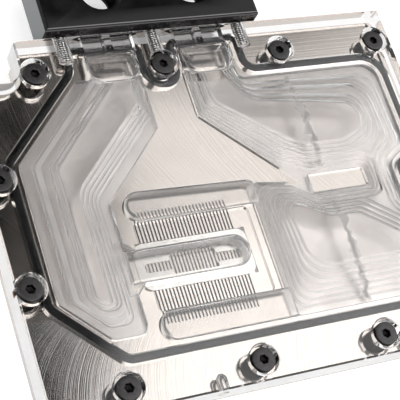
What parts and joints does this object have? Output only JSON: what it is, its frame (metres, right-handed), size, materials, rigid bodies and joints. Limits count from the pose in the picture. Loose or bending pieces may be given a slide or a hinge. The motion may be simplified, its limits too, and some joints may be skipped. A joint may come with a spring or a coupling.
{
  "type": "gpu water block",
  "caption": "Full-cover liquid cooling block for a graphics card: clear machined top over a nickel-plated finned cold plate, with a two-port terminal on its back edge.",
  "frame": {"origin": "centre of the processor contact face on the plate's underside", "axes": "+Z from the processor through the plate to the clear top, +Y to the terminal, +X along the block's length"},
  "size_m": [0.1446, 0.1381, 0.0215],
  "materials": {
    "nickel": "bright nickel plating over machined copper",
    "clear_top": "polished clear cast plastic, frosted where it is milled",
    "steel": "plain rolled",
    "seal": "matte",
    "black_screw": "black oxide",
    "terminal": "machined, satin",
    "brass_nickel": "bright nickel plating"
  },
  "bodies": {
    "root": {"cold_plate": "nickel", "clear_top": "clear_top", "jet_plate": "steel", "main_seal": "seal", "cover_screws": "black_screw", "terminal_body": "terminal", "terminal_screws": "black_screw", "left_port_seal": "seal", "right_port_seal": "seal", "core_standoffs": "brass_nickel", "board_standoffs": "brass_nickel"}
  },
  "joints": []
}
